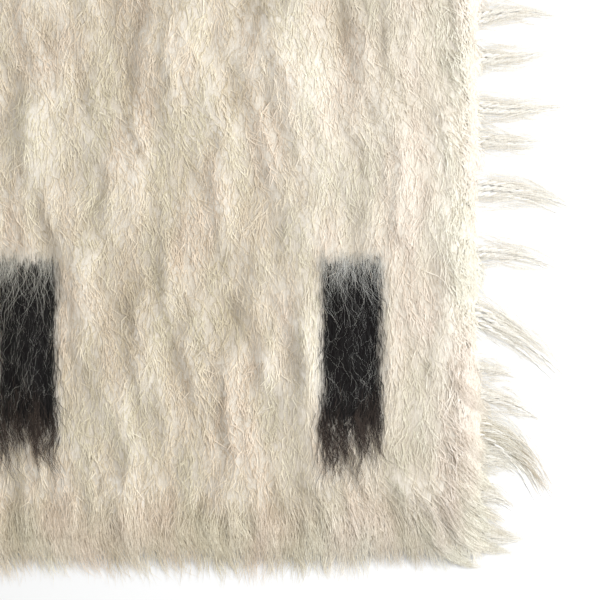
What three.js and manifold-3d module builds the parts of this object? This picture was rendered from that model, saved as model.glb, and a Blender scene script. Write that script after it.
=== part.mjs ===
// A small wool throw lying flat with its brushed pile up.
// X runs across the throw from fringe to fringe, the nap falls towards -Y, and +Z points up.
// All sizes are in millimetres. The origin is the middle of the cloth's underside.

import * as THREE from 'three';
import { mergeVertices } from 'three/addons/utils/BufferGeometryUtils.js';
import Module from 'manifold-3d';

const wasm = await Module();
wasm.setup();

// The cloth with its lying pile
const CLOTH_ACROSS = 792;
const CLOTH_ALONG = 830;
const CELLS_ACROSS = 44;
const CELLS_ALONG = 30;
const PILE_HEIGHT = 17;
const EDGE_HEIGHT = 5;
const SIDE_SLOPE = 26;
const FOOT_SLOPE = 55;
const HEAD_SLOPE = 18;
const FOOT_WAVE = 3;

// The loose lumps that the nap forms where no fold is named
const LUMP_ACROSS = 62;
const LUMP_ALONG = 118;
const LUMP_RISE = 4.2;

// The header at each end, a narrow strip that holds the fringe, and the gap that parts it from the cloth
const HEADER_WIDTH = 6;
const HEADER_HEIGHT = 5.5;
const HEADER_GAP = 0.3;
const ROOT_DEPTH = 3;

// Yarn ends of a tuft at their roots, and the pitch and room of the tufts
const YARN = { width: 6.4, height: 5.4, steps: 7 };
const YARN_SPREAD = 7;
const YARN_DRAW = 0.45;
const TUFT_PITCH = 41;
const TUFT_ROOM = 12;

// The hair locks that hang over the foot edge and lean out between the tufts
const LOCK_ROOT = 14;
const FOOT_LOCK = { width: 10.5, height: 6.5, steps: 3 };
const FOOT_LOCK_PITCH = 13;
const FOOT_LOCK_REACH = 27;
const SIDE_LOCK = { width: 8, height: 4.8, steps: 3 };
const SIDE_LOCK_PITCH = 12;
const SIDE_LOCK_REACH = 13;

// What every strand thins out to
const TIP_WIDTH = 1.2;
const TIP_HEIGHT = 0.9;
const TAPER = 1.7;

const WOOL = { color: 0xd9cfb8, roughness: 0.95, metalness: 0 };
const FRINGE_WOOL = { color: 0xe6decb, roughness: 0.9, metalness: 0 };

// The main ridges and hollows of the nap near the right foot corner. A row is one soft swell:
// x, y is its middle, along and across its half lengths, rise its height or, below 0, its depth,
// and lean how far its lower end lies to the right of its middle.
const FOLDS = [
  { x: 8, y: 200, along: 90, across: 13, rise: 4, lean: 4 },
  { x: 62, y: 45, along: 60, across: 10, rise: -4, lean: 2 },
  { x: 92, y: 70, along: 46, across: 11, rise: -6, lean: -4 },
  { x: 138, y: 52, along: 55, across: 24, rise: 5, lean: 6 },
  { x: 222, y: 48, along: 40, across: 14, rise: 4, lean: 8 },
  { x: 286, y: 36, along: 34, across: 11, rise: -7, lean: 8 },
  { x: 256, y: -34, along: 32, across: 10, rise: -4, lean: 6 },
  { x: 330, y: 6, along: 60, across: 18, rise: 4, lean: 12 },
  { x: 33, y: -138, along: 34, across: 16, rise: 5, lean: 10 },
  { x: 80, y: -190, along: 60, across: 12, rise: -3, lean: 14 },
  { x: 136, y: -196, along: 62, across: 13, rise: 5, lean: 22 },
  { x: 116, y: -222, along: 64, across: 8, rise: -5, lean: 24 },
  { x: 196, y: -190, along: 60, across: 12, rise: 4, lean: 10 },
  { x: 180, y: -205, along: 40, across: 8, rise: -4, lean: 8 },
  { x: 254, y: -235, along: 80, across: 10, rise: 5, lean: -4 },
  { x: 331, y: -235, along: 85, across: 10, rise: 5, lean: 3 },
  { x: 292, y: -235, along: 75, across: 22, rise: -3, lean: -2 },
  { x: 360, y: -175, along: 36, across: 9, rise: -4, lean: 4 },
  { x: 344, y: -372, along: 34, across: 15, rise: -5, lean: 12 },
  { x: 124, y: -395, along: 42, across: 12, rise: -4, lean: 5 },
  { x: 152, y: -345, along: 50, across: 10, rise: -3, lean: 14 },
  { x: 205, y: -370, along: 44, across: 14, rise: 4, lean: 6 },
];

// The tufts of the right end, from the foot up. up is the root's distance from the foot edge, reach how far
// the tuft comes out, swing how far its tip lies above its root or, below 0, under it, bow how far
// its middle lies off that line, and yarns the number of yarn ends twisted together.
const TUFTS = [
  { up: 12, reach: 52, swing: -7, bow: -5, yarns: 2 },
  { up: 46, reach: 42, swing: -16, bow: 3, yarns: 2 },
  { up: 77, reach: 46, swing: -13, bow: 4, yarns: 2 },
  { up: 106, reach: 74, swing: -66, bow: 12, yarns: 3 },
  { up: 136, reach: 68, swing: -24, bow: 3, yarns: 2 },
  { up: 160, reach: 44, swing: -11, bow: 2, yarns: 1 },
  { up: 208, reach: 88, swing: -58, bow: 3, yarns: 3 },
  { up: 264, reach: 88, swing: -17, bow: 4, yarns: 2 },
  { up: 322, reach: 102, swing: -22, bow: 5, yarns: 3 },
  { up: 367, reach: 80, swing: -3, bow: -2, yarns: 2 },
  { up: 395, reach: 104, swing: 3, bow: -3, yarns: 2 },
  { up: 440, reach: 80, swing: 9, bow: -4, yarns: 2 },
  { up: 475, reach: 86, swing: 1, bow: 5, yarns: 2 },
];

const FOOT = -CLOTH_ALONG / 2;
const HALF_ACROSS = CLOTH_ACROSS / 2;
const HEADER_IN = HALF_ACROSS + HEADER_GAP;
const HEADER_OUT = HEADER_IN + HEADER_WIDTH;

// A number from 0 to 1 that is the same for the same key each time, for the unevenness of hand-brushed wool.
function chance(key) {
  const wave = Math.sin(key * 127.1 + 11.7) * 43758.5453;
  return wave - Math.floor(wave);
}

// The same as chance, from -1 to 1.
function drift(key) {
  return 2 * chance(key) - 1;
}

// How much of a swell's rise is felt at x, y.
function swell(fold, x, y) {
  const down = (fold.y - y) / fold.along;
  const aside = (x - fold.x - fold.lean * down) / fold.across;
  return fold.rise * Math.exp(-down * down - aside * aside);
}

// The lumps of the whole throw, one for each cell of a loose lattice, as rows of the same kind as FOLDS.
function looseLumps() {
  const rows = [];
  const columns = Math.round(CLOTH_ACROSS / LUMP_ACROSS);
  const lines = Math.round(CLOTH_ALONG / LUMP_ALONG);
  for (let column = 0; column < columns; column += 1) {
    for (let line = 0; line < lines; line += 1) {
      const key = column * lines + line + 1;
      const stagger = column % 2 ? 0.5 : 0;
      rows.push({
        x: (column + 0.5 + 0.25 * drift(key)) * LUMP_ACROSS - HALF_ACROSS,
        y: (line + stagger + 0.25 * drift(key + 500)) * LUMP_ALONG + FOOT,
        along: LUMP_ALONG * (0.3 + 0.12 * chance(key + 1000)),
        across: LUMP_ACROSS * (0.22 + 0.1 * chance(key + 1500)),
        rise: LUMP_RISE * (chance(key + 2000) < 0.45 ? -1 : 0.9),
        lean: 9 * drift(key + 2500),
      });
    }
  }
  return rows;
}

const LUMPS = looseLumps();

// The height of the lying pile at x, y: a level body that slopes down to each edge, with its lumps and folds.
function pileHeight(x, y) {
  const side = THREE.MathUtils.smoothstep(HALF_ACROSS - Math.abs(x), 0, SIDE_SLOPE);
  const foot = THREE.MathUtils.smoothstep(y - FOOT, 0, FOOT_SLOPE);
  const head = THREE.MathUtils.smoothstep(-FOOT - y, 0, HEAD_SLOPE);
  const inside = side * foot * head;
  let body = PILE_HEIGHT - EDGE_HEIGHT;
  for (const row of FOLDS) body += swell(row, x, y);
  for (const row of LUMPS) body += swell(row, x, y);
  return EDGE_HEIGHT + inside * body;
}

// A closed geometry as a solid that can be joined.
function solidOf(geometry) {
  const bare = geometry.clone();
  bare.deleteAttribute('normal');
  bare.deleteAttribute('uv');
  const merged = mergeVertices(bare, 1e-3);
  const mesh = new wasm.Mesh({
    numProp: 3,
    vertProperties: new Float32Array(merged.attributes.position.array),
    triVerts: new Uint32Array(merged.index.array),
  });
  return new wasm.Manifold(mesh);
}

// A solid back as a geometry.
function geometryOf(solid) {
  const mesh = solid.getMesh();
  const places = new Float32Array(mesh.numVert * 3);
  for (let n = 0; n < mesh.numVert; n += 1) {
    places.set(mesh.vertProperties.subarray(n * mesh.numProp, n * mesh.numProp + 3), n * 3);
  }
  const geometry = new THREE.BufferGeometry();
  geometry.setAttribute('position', new THREE.BufferAttribute(places, 3));
  geometry.setIndex(new THREE.BufferAttribute(mesh.triVerts, 1));
  geometry.computeVertexNormals();
  return geometry;
}

// A tapered strand of three sides that rests level on the floor along a curve, or apart to the right of it.
// It starts width wide and height high at its root, and thins out to its tip as it is drawn in to the curve.
function strand(curve, { width, height, steps }, apart = 0) {
  const shape = new THREE.CylinderGeometry(1, 1, 1, 3, steps);
  const places = shape.attributes.position;
  const corner = Math.sin(THREE.MathUtils.degToRad(120));
  for (let n = 0; n < places.count; n += 1) {
    const share = THREE.MathUtils.clamp(places.getY(n) + 0.5, 0, 1);
    const middle = curve.getPoint(share);
    const ahead = curve.getTangent(share);
    const thin = 1 - share ** TAPER;
    const half = (TIP_WIDTH + (width - TIP_WIDTH) * thin) / 2;
    const rise = TIP_HEIGHT + (height - TIP_HEIGHT) * thin;
    const aside = (places.getX(n) / corner) * half + apart * (1 - YARN_DRAW * share);
    const up = (places.getZ(n) + 0.5) / 1.5;
    places.setXYZ(n, middle.x + ahead.y * aside, middle.y - ahead.x * aside, up * rise);
  }
  return solidOf(shape);
}

// The yarn ends of one tuft, side by side at the root and drawn together towards the tip.
function tuftStrands(tuft, key) {
  const strands = [];
  const rootY = FOOT + tuft.up;
  for (let yarn = 0; yarn < tuft.yarns; yarn += 1) {
    const offset = yarn - (tuft.yarns - 1) / 2;
    const reach = tuft.reach * (1 - 0.14 * Math.abs(offset) - 0.06 * chance(key + yarn));
    const curve = new THREE.CatmullRomCurve3([
      new THREE.Vector3(HEADER_OUT - ROOT_DEPTH, rootY, 0),
      new THREE.Vector3(HEADER_OUT + ROOT_DEPTH, rootY, 0),
      new THREE.Vector3(HEADER_OUT + reach * 0.3, rootY + tuft.swing * 0.25 + tuft.bow * 0.8, 0),
      new THREE.Vector3(HEADER_OUT + reach * 0.65, rootY + tuft.swing * 0.6 + tuft.bow, 0),
      new THREE.Vector3(HEADER_OUT + reach, rootY + tuft.swing, 0),
    ]);
    strands.push(strand(curve, YARN, YARN_SPREAD * offset));
  }
  return strands;
}

// The tufts of one end: the named ones, and above them others of the same kind at an even pitch.
function endTufts(named, first) {
  const rows = named.slice();
  for (let up = first; up < CLOTH_ALONG - 8; up += TUFT_PITCH) {
    const key = rows.length + first;
    rows.push({
      up: up + 4 * drift(key),
      reach: 88 + 14 * drift(key + 40),
      swing: -12 + 16 * drift(key + 80),
      bow: 5 * drift(key + 120),
      yarns: chance(key + 160) < 0.35 ? 3 : 2,
    });
  }
  return rows;
}

// Whether a tuft's root, or a tuft that swings down over it, leaves no room for a hair lock here.
function taken(tufts, up) {
  return tufts.some((tuft) => {
    const below = TUFT_ROOM + Math.max(-tuft.swing, 0) * 0.3;
    return up < tuft.up + TUFT_ROOM && up > tuft.up - below;
  });
}

// A header with its tufts and, between them, the short hair locks that lean down the nap.
function fringe(tufts, key) {
  const header = new THREE.BoxGeometry(HEADER_WIDTH, CLOTH_ALONG, HEADER_HEIGHT);
  header.translate(HEADER_IN + HEADER_WIDTH / 2, 0, HEADER_HEIGHT / 2);
  let solid = solidOf(header);
  tufts.forEach((tuft, n) => {
    for (const piece of tuftStrands(tuft, key + n * 7)) solid = solid.add(piece);
  });
  for (let up = SIDE_LOCK_PITCH * 2; up < CLOTH_ALONG - SIDE_LOCK_PITCH; up += SIDE_LOCK_PITCH) {
    if (taken(tufts, up)) continue;
    const y = FOOT + up;
    const reach = SIDE_LOCK_REACH * (0.8 + 0.5 * chance(key + up));
    const curve = new THREE.QuadraticBezierCurve3(
      new THREE.Vector3(HEADER_OUT - ROOT_DEPTH, y, 0),
      new THREE.Vector3(HEADER_OUT + reach * 0.5, y, 0),
      new THREE.Vector3(HEADER_OUT + reach, y - 5 - 3 * chance(key + up + 600), 0),
    );
    solid = solid.add(strand(curve, SIDE_LOCK));
  }
  return geometryOf(solid);
}

// The slab that the lying pile makes: a lumpy top, straight sides and a flat underside.
function slab() {
  const top = new THREE.PlaneGeometry(CLOTH_ACROSS, CLOTH_ALONG, CELLS_ACROSS, CELLS_ALONG);
  const at = top.attributes.position;
  const places = [];
  for (let n = 0; n < at.count; n += 1) {
    const x = at.getX(n);
    const y = at.getY(n);
    const nearFoot = 1 - THREE.MathUtils.smoothstep(y - FOOT, 0, FOOT_SLOPE);
    const wave = FOOT_WAVE * nearFoot * Math.sin(x / 31 + 1.4 * Math.sin(x / 77));
    places.push(new THREE.Vector3(x, y + wave, pileHeight(x, y)));
  }

  // The rim's points, anticlockwise seen from above
  const row = CELLS_ACROSS + 1;
  const rim = [];
  for (let n = 0; n < CELLS_ACROSS; n += 1) rim.push(CELLS_ALONG * row + n);
  for (let n = CELLS_ALONG; n > 0; n -= 1) rim.push(n * row + CELLS_ACROSS);
  for (let n = CELLS_ACROSS; n > 0; n -= 1) rim.push(n);
  for (let n = 0; n < CELLS_ALONG; n += 1) rim.push(n * row);

  const floorStart = places.length;
  const outline = rim.map((n) => new THREE.Vector2(places[n].x, places[n].y));
  for (const point of outline) places.push(new THREE.Vector3(point.x, point.y, 0));

  const faces = Array.from(top.index.array);
  rim.forEach((here, n) => {
    const next = (n + 1) % rim.length;
    faces.push(floorStart + n, floorStart + next, rim[next]);
    faces.push(floorStart + n, rim[next], here);
  });
  for (const [a, b, c] of THREE.ShapeUtils.triangulateShape(outline, [])) {
    faces.push(floorStart + a, floorStart + c, floorStart + b);
  }
  return new THREE.BufferGeometry().setFromPoints(places).setIndex(faces);
}

// The cloth and its pile in one solid, with the nap's locks over its foot edge.
function pileCloth() {
  let solid = solidOf(slab());
  const locks = Math.floor((CLOTH_ACROSS - 8) / FOOT_LOCK_PITCH);
  for (let n = 0; n < locks; n += 1) {
    const x = (n + 0.5 - locks / 2 + 0.15 * drift(n)) * FOOT_LOCK_PITCH;
    const reach = FOOT_LOCK_REACH * (0.72 + 0.4 * chance(n + 200));
    const sway = 5 * drift(n + 400);
    const curve = new THREE.QuadraticBezierCurve3(
      new THREE.Vector3(x, FOOT + LOCK_ROOT, 0),
      new THREE.Vector3(x + sway * 0.2, FOOT - reach * 0.4, 0),
      new THREE.Vector3(x + sway, FOOT - reach, 0),
    );
    const width = FOOT_LOCK.width * (1 + 0.15 * drift(n + 800));
    solid = solid.add(strand(curve, { ...FOOT_LOCK, width }));
  }
  return geometryOf(solid);
}

function named(name, geometry, look) {
  const mesh = new THREE.Mesh(geometry, new THREE.MeshStandardMaterial(look));
  mesh.name = name;
  return mesh;
}

const rightEnd = named('fringe_right', fringe(endTufts(TUFTS, 516), 1), FRINGE_WOOL);
const leftEnd = named('fringe_left', fringe(endTufts([], 14), 900), FRINGE_WOOL);
leftEnd.scale.x = -1;

const woolThrow = new THREE.Group();
woolThrow.add(named('pile_cloth', pileCloth(), WOOL), rightEnd, leftEnd);

export default woolThrow;
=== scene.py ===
"""A cream wool throw with a long brushed pile, dark bars woven into it and a tufted fringe, laid flat."""

import math

import bpy
import numpy as np
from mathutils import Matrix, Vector
from mathutils.bvhtree import BVHTree


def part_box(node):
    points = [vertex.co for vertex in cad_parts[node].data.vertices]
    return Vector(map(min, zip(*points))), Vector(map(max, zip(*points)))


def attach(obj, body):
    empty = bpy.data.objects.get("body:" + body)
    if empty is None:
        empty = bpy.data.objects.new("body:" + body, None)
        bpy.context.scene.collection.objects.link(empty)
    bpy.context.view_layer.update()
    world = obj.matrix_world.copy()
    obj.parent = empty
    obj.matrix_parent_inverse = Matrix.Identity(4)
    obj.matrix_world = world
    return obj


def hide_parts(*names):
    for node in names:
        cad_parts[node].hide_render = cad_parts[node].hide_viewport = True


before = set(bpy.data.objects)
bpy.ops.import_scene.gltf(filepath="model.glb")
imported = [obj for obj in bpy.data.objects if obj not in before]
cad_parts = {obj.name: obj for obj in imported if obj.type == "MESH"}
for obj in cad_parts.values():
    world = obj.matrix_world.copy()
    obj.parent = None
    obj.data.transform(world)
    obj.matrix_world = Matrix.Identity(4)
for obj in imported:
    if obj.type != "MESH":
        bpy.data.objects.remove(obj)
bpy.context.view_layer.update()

MM = 0.001
TAU = 2 * math.pi

# The cloth as its solid holds it, and the header strips beside it
cloth_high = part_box("pile_cloth")[1]
CLOTH_ALONG = 830 * MM
HEAD = cloth_high[1]
FOOT = HEAD - CLOTH_ALONG
HALF_ACROSS = cloth_high[0]
CLOTH_THICK = 1.8 * MM
HEADER_GAP = 0.3 * MM
HEADER_WIDTH = 6 * MM
HEADER_IN = HALF_ACROSS + HEADER_GAP
HEADER_OUT = HEADER_IN + HEADER_WIDTH

# The dark bars: columns across the throw, and two rows along it
BAR_COLUMNS = (-291 * MM, 0.5 * MM, 292 * MM)
BAR_ROWS = ((-311 * MM, -157 * MM), (156 * MM, 310 * MM))
BARS = [(middle, low, high) for middle in BAR_COLUMNS for low, high in BAR_ROWS]
BAR_HALF = 29 * MM

# The pile hair: a soft layer of combed wisps, and over it the fine crimped fibres. The real fibres are about
# 0.04 mm thick, too fine to show: a drawn one stands for the few that cling together.
COMBED = {
    "count": 39000, "length": 26 * MM, "width": 1.0 * MM, "points": 3, "crimp": 0.3, "stray": 0.26,
    "roll": 0.06, "mottle": 0.06, "lift": 0.0,
}
CRIMPED = {
    "count": 174000, "length": 11 * MM, "width": 0.22 * MM, "points": 3, "crimp": 0.85, "stray": 0.5,
    "roll": 0.06, "mottle": 0.13, "lift": 0.1 * MM,
}
ROOT_SINK = 3.2 * MM
LOWEST = 0.6 * MM
WISP_ACROSS = 7 * MM
WISP_ALONG = 26 * MM
WISP_PULL = -0.4
RIM_TURN = 26 * MM


def table(columns, *rows):
    """Rows of values, each value under its column's name."""
    return [dict(zip(columns.split(), row)) for row in rows]


# The tufts of the photographed end, in millimetres. up is the root's distance from the foot edge, reach how
# far the tuft comes out, swing how far its tip lies above its root or, below 0, under it, bow how far its
# middle lies off that line, and yarns the number of its yarn ends. A dusty one is wrapped in darker wool.
TUFTS = table(
    "up reach swing bow yarns dusty",
    (12, 52, -7, -5, 2, False),
    (46, 42, -16, 3, 2, False),
    (77, 46, -13, 4, 2, False),
    (106, 74, -66, 12, 3, True),
    (136, 68, -24, 3, 2, False),
    (160, 44, -11, 2, 1, False),
    (208, 88, -58, 3, 3, False),
    (264, 88, -17, 4, 2, False),
    (322, 102, -22, 5, 3, False),
    (367, 80, -3, -2, 2, False),
    (395, 104, 3, -3, 2, False),
    (440, 80, 9, -4, 2, False),
    (475, 86, 1, 5, 2, False),
)
TUFT_PITCH = 41
YARN_SPREAD = 7
YARN_DRAW = 0.45


def linear(hex_value):
    """A colour written as sRGB hex, as the linear RGBA that a socket takes."""
    channels = [(hex_value >> shift & 255) / 255 for shift in (16, 8, 0)]
    return [c / 12.92 if c <= 0.04045 else ((c + 0.055) / 1.055) ** 2.4 for c in channels] + [1.0]


def node(tree, kind, settings=None, inputs=None, stops=()):
    """Adds a node with its properties, its inputs as values or as the sockets that feed them, and the places
    and colours of a ramp."""
    made = tree.nodes.new(kind)
    for name, value in (settings or {}).items():
        setattr(made, name, value)
    for name, value in (inputs or {}).items():
        if isinstance(value, bpy.types.NodeSocket):
            tree.links.new(value, made.inputs[name])
        else:
            made.inputs[name].default_value = value
    for number, (place, colour) in enumerate(stops):
        mark = made.color_ramp.elements[number]
        mark.position = place
        mark.color = colour
    return made


def blended(values, u, v, smooth=False):
    """A grid's values at places u, v between its own. Past its rim it repeats."""
    i = np.floor(u).astype(int)
    j = np.floor(v).astype(int)
    f = u - i
    g = v - j
    if smooth:
        f = f * f * (3 - 2 * f)
        g = g * g * (3 - 2 * g)
    rows, columns = values.shape
    i, j, i_next, j_next = i % rows, j % columns, (i + 1) % rows, (j + 1) % columns
    low = values[i, j] * (1 - f) + values[i_next, j] * f
    high = values[i, j_next] * (1 - f) + values[i_next, j_next] * f
    return low * (1 - g) + high * g


def noise(x, y, across, along, seed):
    """Smooth noise from -1 to 1 whose swells are about that large each way."""
    lattice = np.random.default_rng(seed).uniform(-1, 1, (128, 128))
    return blended(lattice, x / across + 64, y / along + 64, smooth=True)


def unit(v):
    return v / np.linalg.norm(v, axis=-1, keepdims=True)


# Where the nap was brushed aside, in millimetres, with each place's reach and its push along X
BRUSHED = table(
    "x y reach push",
    (420, -450, 75, -38),
    (330, -330, 40, 7),
    (205, -235, 45, -9),
    (20, -120, 38, 8),
    (150, 5, 50, 8),
    (345, -60, 45, -8),
)

# The nap leans a little towards the photographed side on its way down
LEAN = 0.13


def drift(x, y):
    """How far the combed nap is pushed aside from straight lines, which bends it into soft waves."""
    brushed = sum(
        row["push"] * np.exp(-((x / MM - row["x"]) ** 2 + (y / MM - row["y"]) ** 2) / row["reach"] ** 2)
        for row in BRUSHED
    )
    return MM * brushed + LEAN * y + (
        6.5 * MM * noise(x, y, 80 * MM, 80 * MM, 11)
        + 4.0 * MM * noise(x, y, 26 * MM, 30 * MM, 12)
        + 1.6 * MM * noise(x, y, 10 * MM, 11 * MM, 13)
    )


def nap_turn(x, y):
    """The nap's direction in radians from straight down the throw, turning towards +X."""
    step = 1 * MM
    return np.arctan((drift(x, y + step) - drift(x, y - step)) / (2 * step))


def read_slab(step):
    """The top of the solid as heights on a grid, with the grid's places."""
    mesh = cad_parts["pile_cloth"].data
    corners = [v.co for v in mesh.vertices]
    tree = BVHTree.FromPolygons(corners, [tuple(p.vertices) for p in mesh.polygons])
    xs = np.arange(-HALF_ACROSS + 1 * MM, HALF_ACROSS, step)
    ys = np.arange(FOOT + 4 * MM, HEAD, step)
    down = Vector((0, 0, -1))
    rows = [[tree.ray_cast(Vector((x, y, 1)), down)[0] for y in ys] for x in xs]
    edge = 5 * MM
    return xs, ys, np.array([[hit.z if hit else edge for hit in row] for row in rows])


SLAB_STEP = 5 * MM
slab_x, slab_y, slab_z = read_slab(SLAB_STEP)


# The main hollows of the photographed part, in millimetres: the middle of each, its half width and half
# length and its depth, with a few places that stand up, below 0
HOLLOWS = [
    (86, 52, 12, 38, 4.5), (93, 8, 8, 24, 3.0), (282, 44, 8, 26, 7.0), (57, 5, 8, 15, 3.5),
    (44, -78, 14, 28, 3.0), (-19, 22, 12, 45, 4.0), (-15, -30, 8, 36, 2.5), (140, -78, 13, 24, 4.5),
    (179, 5, 6, 18, 3.0), (215, -15, 6, 24, 3.0), (255, -32, 10, 20, 3.0), (165, -145, 7, 26, 3.0),
    (116, -185, 6, 32, 3.0), (130, -252, 12, 36, 6.5), (76, -212, 15, 42, 4.5), (179, -205, 9, 18, 3.5),
    (212, -200, 16, 60, -1.8), (176, -334, 7, 38, 3.5), (98, -298, 7, 20, 2.0), (70, -330, 10, 34, 2.5),
    (130, -305, 13, 26, 2.5), (139, -400, 13, 30, 4.0), (75, -410, 8, 22, 3.0), (246, -408, 8, 22, 2.5),
    (358, -168, 9, 26, 3.0), (370, 12, 7, 20, 3.0), (362, -28, 8, 20, 2.5), (342, -388, 12, 18, 4.5),
    (372, -398, 13, 16, 4.0), (376, -334, 8, 20, 2.5), (385, -270, 7, 20, 2.0), (-14, -392, 12, 34, 3.5),
    (388, -416, 7, 26, 4.0), (352, -412, 8, 18, 3.5), (10, -40, 14, 50, -2.5),
    (124, -112, 8, 18, -3.0), (165, 10, 30, 45, -2.0), (340, -10, 22, 60, -1.5), (262, -10, 26, 120, -3.5),
    (354, 30, 14, 90, -2.5), (219, 40, 14, 50, -3.0), (40, -238, 10, 40, 3.0), (250, -235, 14, 70, -3.5),
    (290, -388, 20, 24, -2.5), (240, -388, 20, 34, -2.5), (300, -398, 26, 24, -1.5),
]


def hollows(x, y):
    """How far the pile lies lower in the hollows, which run as the nap does."""
    streak = (x + drift(x, y)) / MM
    rows = np.array(HOLLOWS, float)
    streaks = rows[:, 0] + drift(rows[:, 0] * MM, rows[:, 1] * MM) / MM
    rise = np.zeros(np.shape(x))
    for middle, (_, middle_y, wide, long, deep) in zip(streaks, rows):
        rise -= deep * np.exp(-(((streak - middle) / wide) ** 2) - ((y / MM - middle_y) / long) ** 2)
    return rise


def lock_rise(x, y):
    """The relief of the nap's locks and wisps, which run down its waves."""
    streak = x + drift(x, y)
    by_foot = np.exp(-(((y - FOOT) / (70 * MM)) ** 2))
    return MM * (
        hollows(x, y)
        + 2.0 * by_foot * np.tanh(2.2 * noise(streak, y, 10 * MM, 45 * MM, 24))
        + 3.4 * noise(streak, y, 38 * MM, 90 * MM, 21)
        + 2.3 * np.tanh(2.2 * noise(streak, y, 16 * MM, 42 * MM, 22))
        + 1.1 * np.tanh(2.0 * noise(streak, y, 8 * MM, 20 * MM, 23))
    )


# How far the pile hangs past the cloth's edges, how far in from them it starts to roll down, and how high it
# stands there
RIM_HANG = 16 * MM
RIM_ROLL = 9 * MM
RIM_HIGH = 17 * MM


def pile_top(x, y):
    """The height of the combed pile over any point: the solid's top with the locks and wisps of the nap, and
    past the edges the rounded fall of the hair."""
    u = np.clip((x - slab_x[0]) / SLAB_STEP, 0, len(slab_x) - 1.001)
    v = np.clip((y - slab_y[0]) / SLAB_STEP, 0, len(slab_y) - 1.001)
    slab = blended(slab_z, u, v)
    inward = np.minimum(HALF_ACROSS - np.abs(x), np.minimum(y - FOOT, HEAD - y))
    rounded = RIM_HIGH * np.clip((inward + RIM_HANG) / (RIM_HANG + RIM_ROLL), 0, 1) ** 0.65
    past = np.clip(-inward / RIM_HANG, 0, 1)
    held = np.clip((inward + 4 * MM) / (20 * MM), 0, 1)
    return np.maximum(slab * (1 - past), rounded) + held * lock_rise(x, y)


def painted_light_tone(x, y):
    """A shade from 0 to 1 of painted light and shade: darker in the nap's hollows, lighter on its ridges,
    rims and foot.
    """
    from_side = HALF_ACROSS - np.abs(x)
    # The rims are painted lighter: painted light.
    painted_rim_light = 0.42 * np.clip(1 - from_side / (42 * MM), 0, 1)
    # Near the foot edge the tone is raised: painted light over the shade of the pile's downward slope.
    by_foot = 0.13 * np.exp(-(((y - FOOT) / (55 * MM)) ** 2))
    # Low in the hollows is darker and high on the ridges lighter: painted shade and painted light.
    return np.clip(0.47 + lock_rise(x, y) / (18 * MM) + painted_rim_light + by_foot, 0.08, 0.95)


def top_normal(x, y):
    step = 1.5 * MM
    slope_x = (pile_top(x + step, y) - pile_top(x - step, y)) / (2 * step)
    slope_y = (pile_top(x, y + step) - pile_top(x, y - step)) / (2 * step)
    return unit(np.stack([-slope_x, -slope_y, np.ones(x.shape)], -1))


def nearest_wisp(x, y, across, along, seed):
    """The middle across of the wisp that each point belongs to, and its number."""
    jitter = np.random.default_rng(seed).uniform(-0.4, 0.4, (2, 256, 256))
    best = np.full(x.shape, np.inf)
    middle_x = np.zeros(x.shape)
    number = np.zeros(x.shape, int)
    column = np.floor(x / across).astype(int)
    for i in (column - 1, column, column + 1):
        stagger = 0.5 * (i % 2)
        line = np.floor(y / along - stagger).astype(int)
        for j in (line - 1, line, line + 1):
            cx = (i + 0.5 + jitter[0, i % 256, j % 256]) * across
            cy = (j + 0.5 + stagger + jitter[1, i % 256, j % 256]) * along
            far = ((x - cx) / across) ** 2 + ((y - cy) / along) ** 2
            closer = far < best
            best = np.where(closer, far, best)
            middle_x = np.where(closer, cx, middle_x)
            number = np.where(closer, (i % 256) * 256 + j % 256, number)
    return middle_x, number


def hair_mesh(name, path, half, facing, tone, material):
    """Tapered flat hairs as one mesh. path is (hairs, points, 3), half their half widths at each point but
    the tip, facing the way that each one's flat side looks, and tone its own shade from 0 to 1."""
    count, points, _ = path.shape
    along = unit(np.gradient(path, axis=1))
    side = unit(np.cross(along, facing))
    body = slice(0, points - 1)
    each = 2 * points - 1
    corners = np.empty((count, each, 3))
    corners[:, 0:-1:2] = path[:, body] - side[:, body] * half[:, :, None]
    corners[:, 1:-1:2] = path[:, body] + side[:, body] * half[:, :, None]
    corners[:, -1] = path[:, -1]

    pattern = []
    for k in range(points - 2):
        pattern += [2 * k, 2 * k + 1, 2 * k + 3, 2 * k, 2 * k + 3, 2 * k + 2]
    pattern += [each - 3, each - 2, each - 1]
    faces = (np.array(pattern)[None] + (np.arange(count) * each)[:, None]).reshape(-1)

    share = np.repeat(np.arange(points) / (points - 1), 2)[:each]
    across = np.tile([0.2, 0.8], points)[:each]
    across[-1] = 0.5
    cells = math.ceil(math.sqrt(count))
    cell = np.arange(count)
    bake = np.empty((count, each, 2))
    bake[:, :, 0] = (cell % cells)[:, None] / cells + across[None] / cells
    bake[:, :, 1] = (cell // cells)[:, None] / cells + (0.15 + 0.7 * share)[None] / cells
    strand = np.empty((count, each, 2))
    strand[:, :, 0] = tone[:, None]
    strand[:, :, 1] = share[None]

    mesh = bpy.data.meshes.new(name)
    mesh.vertices.add(count * each)
    mesh.vertices.foreach_set("co", corners.reshape(-1))
    mesh.loops.add(len(faces))
    mesh.loops.foreach_set("vertex_index", faces.astype(np.int32))
    mesh.polygons.add(len(faces) // 3)
    mesh.polygons.foreach_set("loop_start", np.arange(0, len(faces), 3, dtype=np.int32))
    mesh.polygons.foreach_set("use_smooth", np.ones(len(faces) // 3, bool))
    mesh.update()
    for map_name, places in (("Strand", strand), ("OFBake", bake)):
        layer = mesh.uv_layers.new(name=map_name)
        layer.uv.foreach_set("vector", places.reshape(-1, 2)[faces].reshape(-1))
    return shown(name, mesh, material)


def shown(name, mesh, material):
    """Puts a mesh into the scene as a piece of one material."""
    mesh.materials.append(material)
    piece = bpy.data.objects.new(name, mesh)
    bpy.context.collection.objects.link(piece)
    return piece


def closed_mesh(name, corners, faces, smooth=True):
    """A mesh from its corners and faces."""
    mesh = bpy.data.meshes.new(name)
    mesh.from_pydata(np.array(corners).tolist(), [], faces)
    mesh.update()
    mesh.polygons.foreach_set("use_smooth", np.full(len(mesh.polygons), smooth))
    return mesh


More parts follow.
